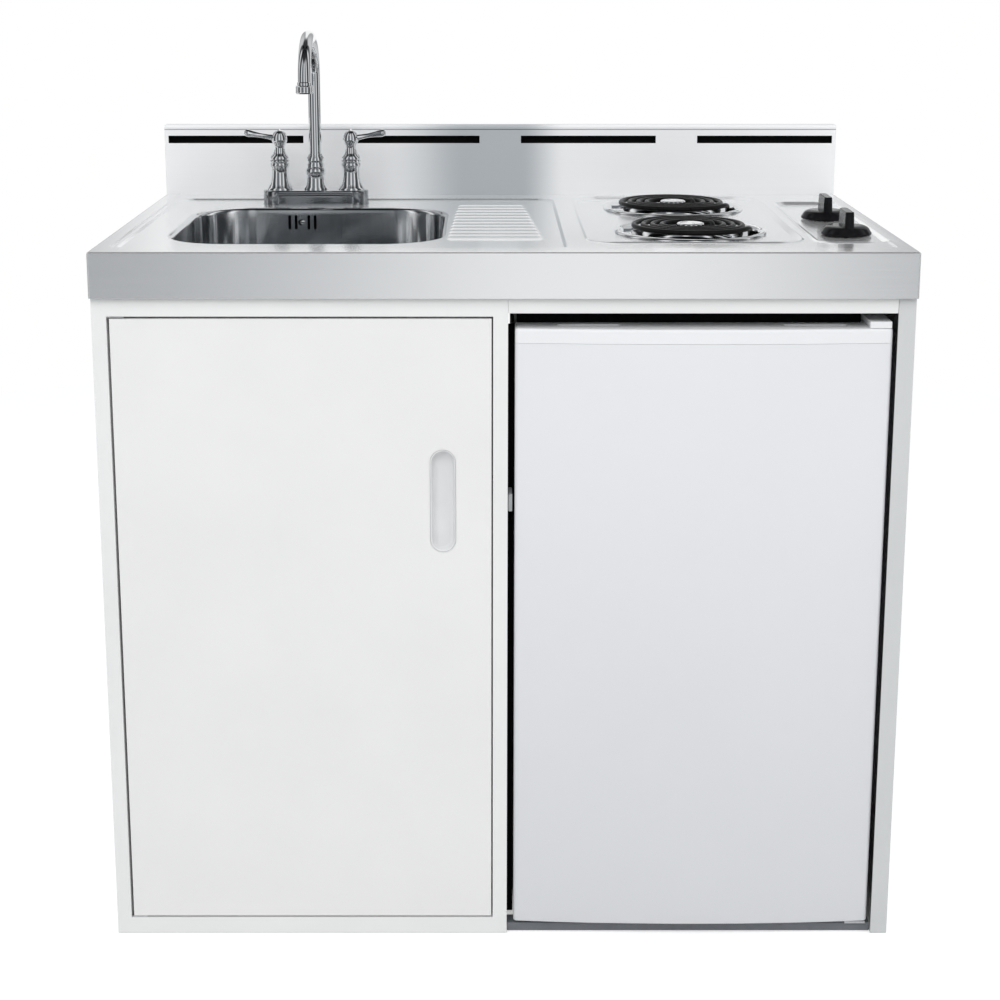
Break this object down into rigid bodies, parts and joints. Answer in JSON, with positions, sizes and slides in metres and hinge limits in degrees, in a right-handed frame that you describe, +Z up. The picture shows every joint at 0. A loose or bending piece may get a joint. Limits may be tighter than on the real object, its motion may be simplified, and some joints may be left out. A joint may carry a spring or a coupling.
{
  "type": "kitchenette unit with sink and hob",
  "caption": "Compact kitchenette: steel worktop with sink, swivel faucet and two coil burners over a painted cupboard with a door and a built-in compact refrigerator.",
  "frame": {"origin": "on the floor under the middle of the unit's footprint", "axes": "+X to the unit's right as seen from the front, +Y to the back, +Z up"},
  "size_m": [0.99, 0.61, 1.128],
  "materials": {
    "stainless": "brushed stainless steel, satin along the unit's length",
    "chrome": "bright chrome plating",
    "zinc": "zinc plated sheet",
    "white_paint": "smooth white baked paint",
    "door_paint": "smooth cool white paint, semi gloss",
    "dark_paint": "dark grey paint",
    "white_plastic": "white moulded plastic",
    "grey_plastic": "light grey plastic",
    "black_plastic": "black moulded plastic",
    "black_enamel": "black heat-proof coating",
    "ceramic": "unglazed ceramic, cream",
    "foam": "rigid yellowish foam",
    "rubber": "grey soft seal",
    "aluminium": "plain rolled aluminium",
    "wire_coat": "white plastic-coated wire"
  },
  "bodies": {
    "cabinet": {"cupboard_face_frame": "white_paint", "left_side_panel": "white_paint", "right_side_panel": "white_paint", "centre_partition": "white_paint", "cupboard_back_panel": "white_paint", "cupboard_floor": "white_paint", "fridge_top_rail": "white_paint", "fridge_bay_sill": "grey_plastic", "worktop": "stainless", "backsplash": "stainless", "backsplash_rear_cover": "zinc", "sink_bowl": "stainless", "overflow_fitting": "black_plastic", "strainer_body": "stainless", "tailpiece": "chrome", "drain_trap": "white_plastic", "faucet_body": "chrome", "hob_housing": "zinc", "drip_pan_front": "chrome", "drip_pan_rear": "chrome", "coil_support_front": "chrome", "coil_support_rear": "chrome", "element_socket_front": "ceramic", "element_socket_rear": "ceramic", "heat_switch_front": "zinc", "heat_switch_rear": "zinc", "cupboard_hinge_upper": "zinc", "cupboard_hinge_lower": "zinc", "door_catch": "grey_plastic", "fridge_shell": "dark_paint", "fridge_insulation": "foam", "fridge_liner": "white_plastic", "fridge_foot_left": "grey_plastic", "fridge_foot_right": "grey_plastic", "fridge_side_clip": "grey_plastic", "compressor": "black_enamel", "condenser_coil": "black_enamel", "freezer_box": "aluminium", "thermostat_housing": "white_plastic", "fridge_hinge_upper": "white_plastic", "fridge_hinge_lower": "zinc"},
    "strainer_basket": {"strainer_basket": "stainless"},
    "spout": {"faucet_spout": "chrome", "faucet_aerator": "chrome"},
    "handle_left": {"faucet_handle_left": "chrome"},
    "handle_right": {"faucet_handle_right": "chrome"},
    "coil_front": {"coil_element_front": "black_enamel"},
    "coil_rear": {"coil_element_rear": "black_enamel"},
    "knob_front": {"heat_knob_front": "black_plastic"},
    "knob_rear": {"heat_knob_rear": "black_plastic"},
    "cupboard_door": {"cupboard_door": "white_paint", "door_pull": "white_plastic"},
    "fridge_door": {"fridge_door_shell": "door_paint", "fridge_door_cap": "white_plastic", "fridge_door_liner": "white_plastic", "fridge_door_gasket": "rubber"},
    "freezer_flap": {"freezer_flap": "white_plastic"},
    "drip_tray": {"drip_tray": "white_plastic"},
    "wire_shelf": {"wire_shelf": "wire_coat"},
    "thermostat_knob": {"thermostat_knob": "grey_plastic"}
  },
  "joints": [
    {"name": "cupboard_door_swing", "type": "hinge", "parent": "cabinet", "child": "cupboard_door", "pos_m": [-0.4665, -0.292, 0.4], "axis": [0, 0, -1], "range_deg": [0, 105]},
    {"name": "fridge_door_swing", "type": "hinge", "parent": "cabinet", "child": "fridge_door", "pos_m": [0.46, -0.2865, 0.4], "axis": [0, 0, 1], "range_deg": [0, 95]},
    {"name": "spout_swivel", "type": "hinge", "parent": "cabinet", "child": "spout", "pos_m": [-0.266, 0.203, 0.95], "axis": [0, 0, 1], "range_deg": [-120, 120]},
    {"name": "handle_left_turn", "type": "hinge", "parent": "cabinet", "child": "handle_left", "pos_m": [-0.317, 0.203, 0.95], "axis": [0, 0, 1], "range_deg": [0, 90]},
    {"name": "handle_right_turn", "type": "hinge", "parent": "cabinet", "child": "handle_right", "pos_m": [-0.215, 0.203, 0.95], "axis": [0, 0, -1], "range_deg": [0, 90]},
    {"name": "strainer_basket_lift", "type": "slide", "parent": "cabinet", "child": "strainer_basket", "axis": [0, 0, 1], "range_m": [0, 0.19]},
    {"name": "coil_front_tilt", "type": "hinge", "parent": "cabinet", "child": "coil_front", "pos_m": [0.355, -0.102, 0.862], "axis": [0, 1, 0], "range_deg": [0, 8]},
    {"name": "coil_rear_tilt", "type": "hinge", "parent": "cabinet", "child": "coil_rear", "pos_m": [0.355, 0.135, 0.862], "axis": [0, 1, 0], "range_deg": [0, 8]},
    {"name": "heat_knob_front_turn", "type": "hinge", "parent": "cabinet", "child": "knob_front", "pos_m": [0.437, -0.132, 0.89], "axis": [0, 0, 1], "continuous": true},
    {"name": "heat_knob_rear_turn", "type": "hinge", "parent": "cabinet", "child": "knob_rear", "pos_m": [0.437, 0.024, 0.89], "axis": [0, 0, 1], "continuous": true},
    {"name": "freezer_flap_drop", "type": "hinge", "parent": "cabinet", "child": "freezer_flap", "pos_m": [0.241, -0.0734, 0.6589], "axis": [1, 0, 0], "range_deg": [0, 90]},
    {"name": "drip_tray_slide", "type": "slide", "parent": "cabinet", "child": "drip_tray", "axis": [0, -1, 0], "range_m": [0, 0.12]},
    {"name": "wire_shelf_slide", "type": "slide", "parent": "cabinet", "child": "wire_shelf", "axis": [0, -1, 0], "range_m": [0, 0.04]},
    {"name": "thermostat_knob_turn", "type": "hinge", "parent": "cabinet", "child": "thermostat_knob", "pos_m": [0.4119, -0.06, 0.5869], "axis": [0, -1, 0], "range_deg": [0, 270]}
  ]
}
